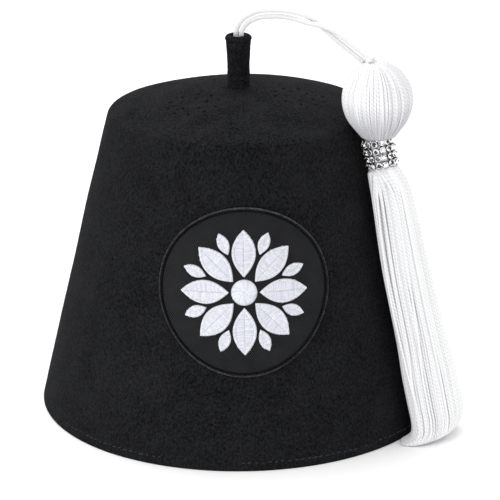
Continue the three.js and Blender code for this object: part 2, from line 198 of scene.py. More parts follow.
def unit(v):
    return v / np.maximum(np.linalg.norm(v, axis=-1, keepdims=True), 1e-12)


def distances(lines):
    """The distance along each line, from 0 at its start."""
    steps = np.linalg.norm(np.diff(lines, axis=-2), axis=-1)
    return np.concatenate([0 * steps[..., :1], np.cumsum(steps, axis=-1)], -1)


def tubes(lines, radius, sides, outward):
    """Closed tubes along many lines of one length: lines is (lines, steps, 3), radius a number or
    (lines, steps), outward a vector that is never along a line, or one for each point. Each tube's
    uv has the share of the way round and the mm along it, from a start of its own."""
    lines = np.asarray(lines, float)
    count, steps, _ = lines.shape
    radius = np.broadcast_to(np.asarray(radius, float), (count, steps))
    tangent = unit(np.gradient(lines, axis=1))
    across = unit(np.cross(tangent, np.broadcast_to(outward, lines.shape)))
    out = np.cross(across, tangent)
    angle = np.arange(sides) * TURN / sides
    ring = (
        np.cos(angle)[None, None, :, None] * out[:, :, None]
        + np.sin(angle)[None, None, :, None] * across[:, :, None]
    )
    points = lines[:, :, None] + radius[:, :, None, None] * ring
    base = (np.arange(count) * steps * sides)[:, None, None]
    row = (np.arange(steps - 1) * sides)[None, :, None]
    side = np.arange(sides)[None, None, :]
    after = (np.arange(sides) + 1)[None, None, :] % sides
    quads = np.stack(
        [base + row + side, base + row + after, base + row + sides + after, base + row + sides + side], -1
    ).reshape(-1, 4)
    first = (base[:, 0] + np.arange(sides)[None, ::-1]).reshape(-1, sides)
    last = first[:, ::-1] + (steps - 1) * sides
    length = distances(lines) + START_SPREAD * rng.random((count, 1))
    u0 = np.broadcast_to(side / sides, (count, steps - 1, sides))
    v0 = np.broadcast_to(length[:, :-1, None], u0.shape)
    v1 = np.broadcast_to(length[:, 1:, None], u0.shape)
    u1 = u0 + 1 / sides
    uv = np.stack([u0, v0, u1, v0, u1, v1, u0, v1], -1).reshape(-1, 2)
    caps = np.zeros((2 * count * sides, 2))
    faces = [quads, np.concatenate([first, last])]
    return points.reshape(-1, 3), faces, np.concatenate([uv, caps])


def joined(parts):
    """Several (points, faces, uv) as one."""
    points, by_size, uvs, start = [], {}, {}, 0
    for p, faces, uv in parts:
        corner = 0
        for f in faces:
            size = f.shape[1]
            by_size.setdefault(size, []).append(f + start)
            uvs.setdefault(size, []).append(uv[corner : corner + f.size])
            corner += f.size
        points.append(p)
        start += len(p)
    sizes = sorted(by_size)
    return (
        np.concatenate(points),
        [np.concatenate(by_size[s]) for s in sizes],
        np.concatenate([np.concatenate(uvs[s]) for s in sizes]),
    )


def grid(points, wrap_rows=False, wrap_columns=True):
    """Faces over a (rows, columns, 3) grid of points."""
    rows, columns = points.shape[:2]
    index = np.arange(rows * columns).reshape(rows, columns)
    if wrap_rows:
        index = np.concatenate([index, index[:1]], 0)
    if wrap_columns:
        index = np.concatenate([index, index[:, :1]], 1)
    return np.stack([index[:-1, :-1], index[:-1, 1:], index[1:, 1:], index[1:, :-1]], -1).reshape(-1, 4)


def closed(rings):
    """Points, faces and an empty uv of a (rows, columns, 3) grid, closed at both ends."""
    rows, columns = rings.shape[:2]
    first = np.arange(columns)
    faces = [grid(rings), np.stack([first[::-1], first + (rows - 1) * columns])]
    return rings.reshape(-1, 3), faces, np.zeros((sum(f.size for f in faces), 2))


def turned(radius, angle, height):
    """Points at a radius and angle round an upright axis, and at a height."""
    return np.stack([radius * np.cos(angle), radius * np.sin(angle), height + 0 * angle], -1)


def turned_profile(profile, sides):
    """A profile of radius and height turned round z, open at its ends."""
    r, z = np.array(profile).T[:, :, None]
    return turned(r, np.arange(sides) * TURN / sides, z)


def tassel_frame(points):
    """From the tassel's upright plane, x outwards and y sideways, into the hat's frame."""
    c, s = math.cos(TASSEL_ANGLE), math.sin(TASSEL_ANGLE)
    x, y, z = np.moveaxis(np.asarray(points, float), -1, 0)
    return np.stack([c * x - s * y, s * x + c * y, z], -1)


def ovalled(points):
    """The rim is a little longer than round, and this fades out up the wall."""
    points = np.array(points, float)
    share = RIM_STRETCH / RIM_RADIUS * (1 - np.clip(points[..., 2] / CORNER_HEIGHT, 0, 1))
    points[..., 0] *= 1 - share
    points[..., 1] *= 1 + share
    return points


def smooth_through(values, at):
    """A smooth curve through evenly spaced values, read at places from 0 to 1."""
    values = np.asarray(values, float)
    padded = np.concatenate([[2 * values[0] - values[1]], values, [2 * values[-1] - values[-2]]])
    t = np.clip(np.asarray(at, float), 0, 1) * (len(values) - 1)
    i = np.minimum(t.astype(int), len(values) - 2)
    f = t - i
    a, b, c, d = padded[i], padded[i + 1], padded[i + 2], padded[i + 3]
    return 0.5 * (
        2 * b + (c - a) * f + (2 * a - 5 * b + 4 * c - d) * f**2 + (3 * b - a - 3 * c + d) * f**3
    )


# Node trees
class Tree:
    """A material's nodes, with its shader."""

    def __init__(self, name):
        self.material = bpy.data.materials.new(name)
        self.material.use_nodes = True
        self.nodes = self.material.node_tree.nodes
        self.links = self.material.node_tree.links
        self.shader = self.nodes["Principled BSDF"]

    def add(self, kind, inputs=None, **settings):
        node = self.nodes.new("ShaderNode" + kind)
        for key, value in settings.items():
            setattr(node, key, value)
        for key, value in (inputs or {}).items():
            self.put(node.inputs[key], value)
        return node

    def put(self, socket, value):
        if isinstance(value, bpy.types.NodeSocket):
            self.links.new(value, socket)
        else:
            socket.default_value = value

    def set(self, **values):
        for key, value in values.items():
            self.put(self.shader.inputs[key.replace("_", " ")], value)

    def maths(self, operation, *values):
        node = self.add("Math", operation=operation)
        for socket, value in zip(node.inputs, values):
            self.put(socket, value)
        return node.outputs[0]

    def noise(self, scale, detail=3.0, roughness=0.5, stretch=(1, 1, 1)):
        where = self.add("TexCoord").outputs["Object"]
        mapping = self.add("Mapping", {"Vector": where, "Scale": stretch})
        values = {"Vector": mapping.outputs[0], "Scale": scale, "Detail": detail, "Roughness": roughness}
        return self.add("TexNoise", values).outputs["Fac"]

    def shade(self):
        return self.add("Attribute", attribute_name="shade").outputs["Fac"]

    def split(self, kind, output, **settings):
        node = self.add(kind, **settings)
        return self.add("SeparateXYZ", {"Vector": node.outputs[output]}).outputs

    def ramp(self, value, *stops):
        node = self.add("ValToRGB", {"Fac": value})
        ramp = node.color_ramp
        while len(ramp.elements) < len(stops):
            ramp.elements.new(0.5)
        for element, (place, colour) in zip(ramp.elements, stops):
            element.position = place
            element.color = (*colour, 1)
        return node.outputs["Color"]

    def bump(self, height, distance, strength=1.0, normal=None):
        values = {"Height": height, "Distance": distance, "Strength": strength}
        if normal is not None:
            values["Normal"] = normal
        return self.add("Bump", values).outputs["Normal"]


# Felt: the scales of its patches, grain and fibres and what each adds. The upward-facing top has painted
# light: more grain contrast and a lighter colour
FELT_SCALES = (70, 1050, 2800)
FELT_SHARES = (0.16, 0.7, 0.5)
FELT_MIDDLE = 0.67
TOP_FROM = WALL_UP + 0.02
TOP_PAINTED_CONTRAST = 1.3
TOP_PAINTED_LIGHT = 0.03


def felt_material(name, dark, light):
    tree = Tree(name)
    patches = tree.noise(FELT_SCALES[0], 3)
    grain = tree.noise(FELT_SCALES[1], 4, 0.65, (1, 1, 0.75))
    fibres = tree.noise(FELT_SCALES[2], 2, 0.6, (1, 1, 0.6))
    mixed = tree.maths("MULTIPLY", grain, FELT_SHARES[1])
    mixed = tree.maths("MULTIPLY_ADD", patches, FELT_SHARES[0], mixed)
    mixed = tree.maths("MULTIPLY_ADD", fibres, FELT_SHARES[2], mixed)
    # Painted light on the top, where the felt faces up: its grain contrast is raised and its colour lifted
    upward = tree.split("TexCoord", "Normal")["Z"]
    top = tree.maths("MAXIMUM", tree.maths("SUBTRACT", upward, TOP_FROM), 0.0)
    spread = tree.maths("SUBTRACT", mixed, FELT_MIDDLE)
    spread = tree.maths("MULTIPLY_ADD", spread, TOP_PAINTED_CONTRAST, TOP_PAINTED_LIGHT)
    mixed = tree.maths("MULTIPLY_ADD", spread, top, mixed)
    tree.set(Base_Color=tree.ramp(mixed, (0.53, dark), (0.82, light)))
    rough = tree.maths("MULTIPLY_ADD", grain, 0.1, 0.86)
    tree.set(Roughness=rough, Sheen_Weight=0.006, Sheen_Roughness=0.5)
    tree.shader.inputs["Specular IOR Level"].default_value = 0.03
    coarse = tree.bump(grain, 0.0009, 0.9)
    tree.set(Normal=tree.bump(fibres, 0.0003, 0.8, coarse))
    return tree.material


def strand_material(name, pitch, plies, dark, light, depth):
    """Twisted yarn: its plies run round it, once in a pitch, in mm, along the strand."""
    tree = Tree(name)
    uv = tree.split("UVMap", "UV", uv_map="Strand")
    along = tree.maths("DIVIDE", uv["Y"], pitch)
    twisted = tree.maths("MULTIPLY_ADD", uv["X"], float(plies), along)
    wave = tree.maths("SINE", tree.maths("MULTIPLY", twisted, math.pi))
    ridge = tree.maths("POWER", tree.maths("ABSOLUTE", wave), 0.6)
    shade = tree.shade()
    fibres = tree.noise(3500, 2, 0.6)
    # The colour is darker down in the grooves between the plies: painted shade
    value = tree.maths("MULTIPLY_ADD", ridge, 0.3, tree.maths("MULTIPLY", shade, 0.5))
    value = tree.maths("MULTIPLY_ADD", fibres, 0.15, value)
    tree.set(Base_Color=tree.ramp(value, (0.2, dark), (0.85, light)))
    tree.set(Roughness=tree.maths("MULTIPLY_ADD", fibres, 0.2, 0.38))
    tree.set(Sheen_Weight=0.15, Sheen_Roughness=0.4)
    tree.set(Normal=tree.bump(ridge, depth, 0.8))
    return tree.material


TWILL_PITCH = 0.95  # mm from rib to rib, along a slant of its own
TWILL_SLANT = 0.8
TWILL_CROSS_PITCH = 0.5


def twill_material():
    tree = Tree("badge_twill")
    where = tree.split("TexCoord", "Object")
    diagonal = tree.maths("MULTIPLY_ADD", where["Z"], TWILL_SLANT, where["X"])
    ribs = tree.maths("SINE", tree.maths("MULTIPLY", diagonal, TURN / (TWILL_PITCH * MM)))
    across = tree.maths("MULTIPLY", where["Z"], TURN / (TWILL_CROSS_PITCH * MM))
    cross = tree.maths("SINE", across)
    weave = tree.maths("MULTIPLY_ADD", tree.maths("MULTIPLY", ribs, cross), 0.35, ribs)
    dust = tree.noise(1800, 3)
    cloud = tree.noise(160, 2)
    value = tree.maths("MULTIPLY_ADD", cloud, 0.5, tree.maths("MULTIPLY", dust, 0.6))
    value = tree.maths("MULTIPLY_ADD", weave, 0.52, value)
    dark, light = (0.0015, 0.0016, 0.002), (0.032, 0.033, 0.036)
    tree.set(Base_Color=tree.ramp(value, (0.3, dark), (0.95, light)))
    tree.set(Roughness=tree.maths("MULTIPLY_ADD", dust, 0.2, 0.6), Sheen_Weight=0.02)
    tree.shader.inputs["Specular IOR Level"].default_value = 0.09
    tree.set(Normal=tree.bump(weave, 0.0002, 1.0))
    return tree.material


def thread_material(name, dark, light, roughness, specular, sheen):
    """Embroidery thread: fine fibres along each stitch, and each stitch a little different."""
    tree = Tree(name)
    uv = tree.split("UVMap", "UV", uv_map="Strand")
    twisted = tree.maths("MULTIPLY_ADD", uv["X"], 3.0, uv["Y"])
    fibres = tree.maths("SINE", tree.maths("MULTIPLY", twisted, TURN))
    shade = tree.shade()
    speckle = tree.noise(1500, 3, 0.6)
    value = tree.maths("MULTIPLY_ADD", fibres, 0.1, tree.maths("MULTIPLY", shade, 0.6))
    value = tree.maths("MULTIPLY_ADD", speckle, 0.6, value)
    tree.set(Base_Color=tree.ramp(value, (0.35, dark), (0.95, light)))
    tree.set(Roughness=tree.maths("MULTIPLY_ADD", fibres, 0.05, roughness))
    tree.shader.inputs["Specular IOR Level"].default_value = specular
    tree.shader.inputs["Sheen Weight"].default_value = sheen
    tree.set(Normal=tree.bump(fibres, 0.00004, 0.6))
    return tree.material


def metal_material():
    """Silver, with painted shade that darkens it down between the cups."""
    tree = Tree("cup_metal")
    scratch = tree.noise(2400, 3)
    shade = tree.shade()
    value = tree.maths("MULTIPLY_ADD", scratch, 0.3, shade)
    dark, light = (0.02, 0.02, 0.022), (0.96, 0.96, 0.97)
    tree.set(Base_Color=tree.ramp(value, (0.35, dark), (0.85, light)))
    tree.set(Metallic=1.0, Roughness=tree.maths("MULTIPLY_ADD", scratch, 0.2, 0.12))
    return tree.material


def crystal_material():
    """Foiled glass with painted reflections: each facet's colour is set light or dark, as the part of the
    room it would throw back.
    """
    tree = Tree("crystal")
    shade = tree.shade()
    stops = (
        (0.0, (0.003, 0.003, 0.004)),
        (0.41, (0.02, 0.02, 0.024)),
        (0.47, (0.85, 0.86, 0.88)),
        (0.7, (1, 1, 1)),
    )
    tree.set(Base_Color=tree.ramp(shade, *stops))
    tree.set(Metallic=0.85, Roughness=tree.maths("MULTIPLY_ADD", shade, 0.05, 0.03))
    tree.set(Coat_Weight=1.0, Coat_Roughness=0.02)
    return tree.material


FELT_BLACK = felt_material("felt", dark=(0.0014, 0.0015, 0.0018), light=(0.0182, 0.0188, 0.0207))
RAYON = strand_material(
    "rayon", pitch=1.8, plies=2, dark=(0.55, 0.55, 0.575), light=(0.96, 0.96, 0.965), depth=0.00016
)
CORD_RAYON = strand_material(
    "cord_rayon", pitch=0.9, plies=3, dark=(0.5, 0.5, 0.52), light=(0.82, 0.82, 0.825), depth=0.0002
)
TWILL = twill_material()
BORDER_THREAD = thread_material(
    "border_thread", (0.0008, 0.0008, 0.001), (0.15, 0.152, 0.16), roughness=0.5, specular=0.1, sheen=0.01
)
WHITE_THREAD = thread_material(
    "white_thread", (0.42, 0.44, 0.5), (0.84, 0.85, 0.9), roughness=0.5, specular=0.5, sheen=0.1
)
GREY_THREAD = thread_material(
    "rim_thread", (0.012, 0.0125, 0.014), (0.075, 0.077, 0.082), roughness=0.6, specular=0.1, sheen=0.01
)
CUP_METAL = metal_material()
CRYSTAL = crystal_material()


# Cords: plies twisted round each route
CORD_ROUTES = (
    (
        (-1.4, 0.0, 160.0), (-1.4, 0.0, 163.7), (-1.4, 0.0, 167.4), (-1.3, 0.0, 171.2),
        (-0.5, 0.0, 175.2), (1.7, 0.0, 178.7), (4.8, 0.0, 181.3), (8.3, 0.0, 183.1),
        (12.0, 0.0, 184.3), (15.8, 0.0, 185.0), (19.5, 0.0, 185.4), (23.3, 0.0, 185.6),
        (27.1, 0.1, 185.4), (30.9, 0.4, 184.9), (34.5, 0.9, 183.9), (38.0, 1.4, 182.3),
        (41.1, 1.4, 180.2), (44.2, 0.8, 178.1), (47.3, 0.3, 176.2), (50.4, 0.0, 174.3),
        (53.5, 0.0, 172.4), (56.6, 0.0, 170.4), (59.7, 0.0, 168.4), (62.9, 0.0, 166.4),
    ),
    (
        (1.4, 0.0, 160.0), (1.4, 0.0, 163.7), (1.4, 0.0, 167.4), (1.4, 0.0, 170.9),
        (2.1, 0.0, 174.2), (3.8, 0.0, 176.9), (6.3, 0.0, 179.1), (9.3, 0.0, 180.6),
        (12.7, 0.0, 181.7), (16.2, 0.0, 182.3), (19.7, 0.0, 182.7), (23.3, 0.0, 182.8),
        (26.9, -0.1, 182.6), (30.5, -0.4, 182.2), (34.1, -0.9, 181.7), (37.8, -1.4, 181.4),
        (41.5, -1.4, 181.1), (45.1, -0.8, 180.1), (48.6, -0.3, 178.6), (51.8, 0.0, 176.7),
        (55.0, 0.0, 174.8), (58.1, 0.0, 172.9), (61.3, 0.0, 170.8), (64.8, 0.0, 168.6),
    ),
)
CORD_STEPS = 200
CORD_TWIST = 6.0  # mm along the cord in which a ply goes round once
PLIES = 4
PLY_RADIUS = 0.56
PLY_SIDES = 9


def make_cord(route, number):
    at = np.linspace(0, 1, CORD_STEPS)
    line = np.stack([smooth_through([p[i] for p in route], at) for i in range(3)], -1)
    line = tassel_frame(line)
    length = distances(line)
    tangent = unit(np.gradient(line, axis=0))
    side = unit(np.cross(tangent, tassel_frame((0, 1, 0))))
    other = np.cross(tangent, side)
    offset = CORD_DIAMETER / 2 - PLY_RADIUS
    plies = []
    for ply in range(PLIES):
        angle = TURN * (length / CORD_TWIST + ply / PLIES)
        plies.append(line + offset * (np.cos(angle)[:, None] * side + np.sin(angle)[:, None] * other))
    points, faces, uv = tubes(plies, PLY_RADIUS, PLY_SIDES, tassel_frame((0, 1, 0.01)))
    shade = 0.75 + 0.2 * rng.random(len(points))
    node = f"tassel_cord_{number}"
    cord = dressed(f"cord_{number}", node, "rayon", points, faces, CORD_RAYON, uv=uv, shade=shade)


for cord_number, cord_route in enumerate(CORD_ROUTES, 1):
    make_cord(cord_route, cord_number)


# Crown
CROWN_COLUMNS = 300
OUTER_ROWS = (96, 9, 44)  # over wall, shoulder and dome
INNER_ROWS = (34, 4, 18)
RIM_ROUNDED = 0.5  # height over which the cut edge is rounded
RIM_STILL = 1.5  # height in which the felt's lumps set in
FELT_LUMPS = ((38, 0.28), (11, 0.10), (3.2, 0.05), (1.3, 0.04))
STEM_FIT = 0.04  # the felt closes round the stem, and is drawn up a little at its foot
STEM_COLLAR = 0.8
STEM_COLLAR_REACH = 0.9
DIMPLE_DEPTH = 0.35  # where the felt is pressed in by a vent hole
DIMPLE_REACH = 0.9
VENT_SIDES = 10
VENT_REACH = 4.0
VENT_SLANT = 0.02


def lumps(points, normals, recipe):
    """Moves points along their normals by noise. recipe has pairs of a size in mm and a height in mm."""
    moved = np.zeros(len(points))
    for size, height in recipe:
        moved += [height * noise.noise(Vector(p / size)) for p in points]
    return points + moved[:, None] * normals


def crown_profile():
    """Radius, height and outward slope all round the felt's section, from the rim's outer edge up."""

    def face(depth, wall_rows, shoulder_rows, dome_rows, hole):
        out = []
        foot = RIM_RADIUS - depth / WALL_OUT
        rounding = SHOULDER_RADIUS - depth
        top_r, top_z = SHOULDER_X + rounding * WALL_OUT, SHOULDER_Z + rounding * WALL_UP
        for t in np.linspace(0, 1, wall_rows)[:-1]:
            out.append((foot + (top_r - foot) * t, top_z * t, WALL_SLOPE))
        for t in np.linspace(0, 1, shoulder_rows)[:-1]:
            a = WALL_SLOPE + SHOULDER_TURN * t
            out.append((SHOULDER_X + rounding * math.cos(a), SHOULDER_Z + rounding * math.sin(a), a))
        radius = DOME_RADIUS - depth
        last = math.asin(hole / radius)
        for t in np.linspace(0, 1, dome_rows):
            a = TOP_EDGE_SLOPE + (last - TOP_EDGE_SLOPE) * t
            out.append((radius * math.sin(a), DOME_CENTRE + radius * math.cos(a), math.pi / 2 - a))
        return out

    hole = STEM_BASE_RADIUS + STEM_FIT
    outer = [row for row in face(0, *OUTER_ROWS, hole) if row[1] > RIM_ROUNDED]
    inner = [(r, z, a + math.pi) for r, z, a in face(FELT, *INNER_ROWS, hole)[::-1] if z > RIM_ROUNDED]
    rim = [
        (RIM_RADIUS - 0.12, RIM_ROUNDED, WALL_SLOPE - 0.2),
        (RIM_RADIUS - 0.35, 0.12, -math.pi / 4),
        (RIM_RADIUS - 0.7, 0.0, -math.pi / 2),
        (RIM_RADIUS - FELT / WALL_OUT + 0.6, 0.0, -math.pi / 2),
        (RIM_RADIUS - FELT / WALL_OUT + 0.2, 0.12, -3 * math.pi / 4),
    ]
    return np.array(outer + inner + rim[::-1])


def vent_places():
    places = []
    for group in range(VENT_GROUPS):
        group_angle = VENT_FIRST_ANGLE + TURN * group / VENT_GROUPS
        for holes, radius in VENT_RINGS:
            for hole in range(holes):
                angle = group_angle + TURN * hole / holes
                x = VENT_GROUP_RADIUS * math.cos(group_angle) + radius * math.cos(angle)
                y = VENT_GROUP_RADIUS * math.sin(group_angle) + radius * math.sin(angle)
                places.append((x, y))
    return np.array(places)


def make_crown():
    r, z, slope = crown_profile().T[:, :, None]
    angle = np.arange(CROWN_COLUMNS) * TURN / CROWN_COLUMNS
    points = turned(r, angle, z)
    normals = turned(np.cos(slope), angle, np.sin(slope))
    faces = grid(points, wrap_rows=True)
    flat, up = ovalled(points).reshape(-1, 3), normals.reshape(-1, 3)
    moved = lumps(flat, up, FELT_LUMPS)
    moved = flat + (moved - flat) * np.clip(flat[:, 2:] / RIM_STILL, 0, 1)
    places = vent_places()
    top = (up[:, 2] > 0.8) & (flat[:, 2] > CORNER_HEIGHT)
    away = np.linalg.norm(moved[top][:, None, :2] - places[None], axis=2).min(1)
    moved[top, 2] -= DIMPLE_DEPTH * np.exp(-((away / DIMPLE_REACH) ** 2))
    beside = np.linalg.norm(flat[top, :2], axis=1) - STEM_BASE_RADIUS
    moved[top, 2] += STEM_COLLAR * np.exp(-beside / STEM_COLLAR_REACH)
    prick(dressed("crown_felt", "crown", "felt", moved, [faces], FELT_BLACK), places)


def prick(crown, places):
    """Cuts the vent holes through the top."""
    lines = []
    for x, y in places:
        radius = math.hypot(x, y)
        height = DOME_CENTRE + math.sqrt(DOME_RADIUS**2 - radius**2)
        out = unit(np.array([x, y, height - DOME_CENTRE]))
        lean = unit(out + VENT_SLANT * rng.standard_normal(3))
        middle = np.array([x, y, height]) - out * FELT / 2
        lines.append([middle - lean * VENT_REACH, middle, middle + lean * VENT_REACH])
    widths = VENT_DIAMETER / 2 * (1.1 + 0.4 * rng.random(len(lines)))
    points, faces, _ = tubes(lines, widths[:, None], VENT_SIDES, (1, 0, 0.001))
    cutter = piece("vent_cutter", points, faces, FELT_BLACK)
    cut = crown.modifiers.new("vents", "BOOLEAN")
    cut.operation = "DIFFERENCE"
    cut.solver = "EXACT"
    cut.object = cutter
    with bpy.context.temp_override(object=crown, active_object=crown, selected_objects=[crown]):
        bpy.ops.object.modifier_apply(modifier=cut.name)
    bpy.data.objects.remove(cutter)


make_crown()


# Stitches round the rim
STITCH_PITCH = 3.0
STITCH_LENGTH = 2.1
STITCH_HEIGHT = 3.6
STITCH_RADIUS = 0.2
STITCH_TAPER = (0.6, 0.9, 1, 1, 1, 1, 1, 0.9, 0.6)
BURIED_DEPTH = 0.35  # towards the picture's left the stitches sink into the nap
BURIED_ANGLE = math.radians(193)
BURIED_REACH = math.radians(30)


def make_rim_stitches():
    around = TURN * RIM_RADIUS
    count = int(around / STITCH_PITCH)
    lines = []
    for i in range(count):
        middle = TURN * i / count + 0.002 * rng.standard_normal()
        height = STITCH_HEIGHT + 0.12 * rng.standard_normal()
        sway = noise.noise(Vector((2 * math.cos(middle), 2 * math.sin(middle), 0)))
        sunk = 0.2 * rng.random() + 0.2 * max(0.0, sway)
        sunk += BURIED_DEPTH * math.exp(-(((middle - BURIED_ANGLE) / BURIED_REACH) ** 2))
        half = STITCH_LENGTH / 2 * (0.85 + 0.3 * rng.random())
        radius = RIM_RADIUS - height * math.tan(WALL_SLOPE)
        line = []
        for t in np.linspace(-1, 1, len(STITCH_TAPER)):
            angle = middle + t * half / radius
            reach = radius + 0.08 - sunk - 0.4 * t**4
            line.append((reach * math.cos(angle), reach * math.sin(angle), height + 0.12 * t))
        lines.append(line)
    lines = ovalled(np.array(lines))
    points, faces, uv = tubes(lines, STITCH_RADIUS * np.array([STITCH_TAPER]), 6, (0, 0, 1))
    shade = np.repeat(0.3 + 0.5 * rng.random(count), len(points) // count)
    stitches = piece("rim_stitches", points, faces, GREY_THREAD, uv=uv, shade=shade)
    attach(stitches, "root")


make_rim_stitches()


# Stem: felt rolled into a tube
STEM_COLUMNS = 96
STEM_LUMPS = ((6, 0.16), (1.8, 0.10), (0.8, 0.05))
STEM_EDGE = 0.3
LIP_START = 2.4  # below the stem's top
LIP_HEIGHT = 1.92
LIP_BULGE = 0.35
SEAM_ANGLE = math.radians(-60)
SEAM_DEPTH = 0.35
SEAM_WIDTH = 0.45
SEAM_STEP = 0.18  # how far the outer end of the rolled felt stands proud
SEAM_STEP_TURN = 1.2


def stem_profile():
    """Radius and height all round the stem's section, from its lower inner edge outwards."""
    bottom = CROWN_HEIGHT - FELT - STEM_BELOW
    top = CROWN_HEIGHT + STEM_HEIGHT
    start = CROWN_HEIGHT + 1
    profile = [
        (CORD_BORE_RADIUS, bottom + 0.2),
        (CORD_BORE_RADIUS + STEM_EDGE, bottom),
        (STEM_BASE_RADIUS - STEM_EDGE, bottom),
        (STEM_BASE_RADIUS, bottom + STEM_EDGE),
    ]
    profile += [(STEM_BASE_RADIUS, z) for z in np.linspace(bottom + 1, start, 6)]
    for t in np.linspace(0, 1, 26)[1:]:
        radius = STEM_BASE_RADIUS + (STEM_TOP_RADIUS - STEM_BASE_RADIUS) * t**3
        profile.append((radius, start + (top - LIP_START - start) * t))
    middle, wall = (STEM_TOP_RADIUS + CORD_BORE_RADIUS) / 2, (STEM_TOP_RADIUS - CORD_BORE_RADIUS) / 2
    for a in np.linspace(0, math.pi, 14):
        radius = middle + wall * math.cos(a) + LIP_BULGE * max(0.0, math.cos(a))
        profile.append((radius, top - LIP_HEIGHT + LIP_HEIGHT * math.sin(a) ** 0.8))
    profile += [(CORD_BORE_RADIUS, z) for z in np.linspace(top - LIP_START, bottom + 1, 20)]
    return np.array(profile)


def make_stem():
    r, z = stem_profile().T[:, :, None]
    angle = np.arange(STEM_COLUMNS) * TURN / STEM_COLUMNS
    away = np.abs((angle - SEAM_ANGLE + math.pi) % TURN - math.pi) * r
    outside = np.clip((r - CORD_BORE_RADIUS) / 1.5, 0, 1)
    groove = SEAM_DEPTH * np.exp(-((away / SEAM_WIDTH) ** 2)) * outside
    step = SEAM_STEP * np.clip(1 - ((angle - SEAM_ANGLE) % TURN) / SEAM_STEP_TURN, 0, 1) * outside
    points = turned(r - groove + step, angle, z)
    flat = points.reshape(-1, 3)
    moved = lumps(flat, unit(flat * (1, 1, 0)), STEM_LUMPS)
    dressed("stem_felt", "stem", "felt", moved, [grid(points, wrap_rows=True)], FELT_BLACK)


make_stem()


# Tassel
HEAD_PROFILE = (  # height and radius, as shares
    (-1.0, 0.5), (-0.8, 0.67), (-0.58, 0.84), (-0.32, 0.955), (0.0, 1.0),
    (0.34, 0.935), (0.64, 0.75), (0.86, 0.49), (0.97, 0.22), (1.0, 0.08),
)
HEAD_STRANDS = 104
HEAD_STEPS = 44
HEAD_STRAND_INSET = 0.42
# Painted shade: the ball's strands darken towards its foot, over the neck
HEAD_FOOT_PAINTED_SHADE = 2.4
CORE_INSET = 0.5
CORE_SHADE = 0.95
# Where the strands of ball and band lie off the solid's middle, as the photo has them
HEAD_MIDDLE = np.array([HEAD_X + 1.0, 0, HEAD_Z + 0.8])
HEAD_LEAN = math.radians(2)
HEAD_CAP = 17.0
HEAD_FOOT = HEAD_NECK + 1.2
HEAD_PULL = (-0.8, -3.6)
HEAD_PULL_FROM = 0.1
BAND_SET = 0.4

KNOT = np.array([65.6, -0.5, 167.9])  # where the cords' ends are tied, in the tassel's plane
KNOT_RADIUS = 1.35
KNOT_STEP = np.array([0.33, -0.28, -0.03])
KNOT_TURNS = ((0.2, 0.0), (1.2, 0.5), (-0.9, 1.1), (0.5, 1.9), (1.5, 2.6), (-0.4, 0.4), (0.8, 1.4))
KNOT_YARN = 0.6
KNOT_SHADE = 0.5
COLLAR_YARN = 0.42
TUFT_HAIRS = 26
TUFT_HAIR_RADIUS = 0.14

SKIRT_SECTIONS = (  # height, stand, width, depth and sweep: the part's, set to the photo's edges
    (1.0, 0.74, 0.49, 0.62, 0.07),
    (0.955, 0.84, 0.55, 0.75, 0.06),
    (0.88, 0.86, 0.61, 0.82, 0.04),
    (0.62, 0.9, 0.82, 0.88, 0.135),
    (0.37, 0.95, 0.87, 0.91, 0.2),
    (0.245, 1.0, 0.97, 0.96, 0.25),
    (0.14, 1.01, 1.0, 0.98, 0.27),
    (0.078, 1.0, 0.99, 0.97, 0.29),
    (0.036, 0.91, 0.92, 0.88, 0.38),
    (0.014, 0.68, 0.74, 0.66, 0.62),
    (0.0, 0.2, 0.34, 0.34, 1.0),
)
SKIRT_STEPS = 56
SKIRT_LAYERS = ((88, 0.0), (80, 0.8), (52, 1.8))  # strands, and how deep the layer lies in mm
STRAND_RADIUS = 0.6
STRAND_SIDES = 6
STRAND_UNEVEN = 0.16
LOCK_DEPTH = 0.22
GATHER_DEPTH = 0.25
SPLITS = 26
SPLIT_DEPTH = 1.8
LOOSE_STRANDS = 10
LOOSE_REACH = 2.2
# Painted shade on the skirt's strands: darker in the deeper layers and on the left side
LAYER_PAINTED_SHADE = 0.08
SIDE_PAINTED_SHADE = 0.3
# Painted shade at the strands' ends, underneath the skirt's bottom
END_PAINTED_SHADE = 0.5


def wall_radius(z):
    share = RIM_STRETCH / RIM_RADIUS * (1 - np.clip(z / CORNER_HEIGHT, 0, 1))
    return (RIM_RADIUS - z * math.tan(WALL_SLOPE)) * (1 - share * math.cos(2 * TASSEL_ANGLE))


BAND_X = wall_radius(BAND_Z) + (BAND_RADIUS + GAP) / WALL_OUT + BAND_SET
BAND_AXIS = np.array([-WALL_UP, 0, WALL_OUT])


def head_section(t):
    """Height over the ball's middle and radius at t, from -1 at its foot to 1 at its top."""
    heights = [a * (HEAD_FOOT if a < 0 else HEAD_CAP) for a, _ in HEAD_PROFILE]
    radii = [r * HEAD_RADIUS for _, r in HEAD_PROFILE]
    where = (np.asarray(t) + 1) / 2
    return smooth_through(heights, where), smooth_through(radii, where)


def head_surface(t, angle, lift):
    """A point of the ball at t, in the tassel's plane, and its radius. Near the top the strands slide
    over the same form towards the knot, where they meet."""
    height, radius = head_section(t)
    radius = radius + lift
    pull = np.clip((np.asarray(t) - HEAD_PULL_FROM) / (1 - HEAD_PULL_FROM), 0, 1) ** 2
    x = radius * np.cos(angle) + HEAD_PULL[0] * pull
    y = radius * np.sin(angle) + HEAD_PULL[1] * pull
    cap_height, cap_radius = head_section(np.linspace(1, 0, 60))
    height = np.where(pull > 0, np.interp(np.hypot(x, y) - lift, cap_radius, cap_height), height)
    c, s = math.cos(HEAD_LEAN), math.sin(HEAD_LEAN)
    return HEAD_MIDDLE + np.stack([c * x - s * height, y, s * x + c * height], -1), radius


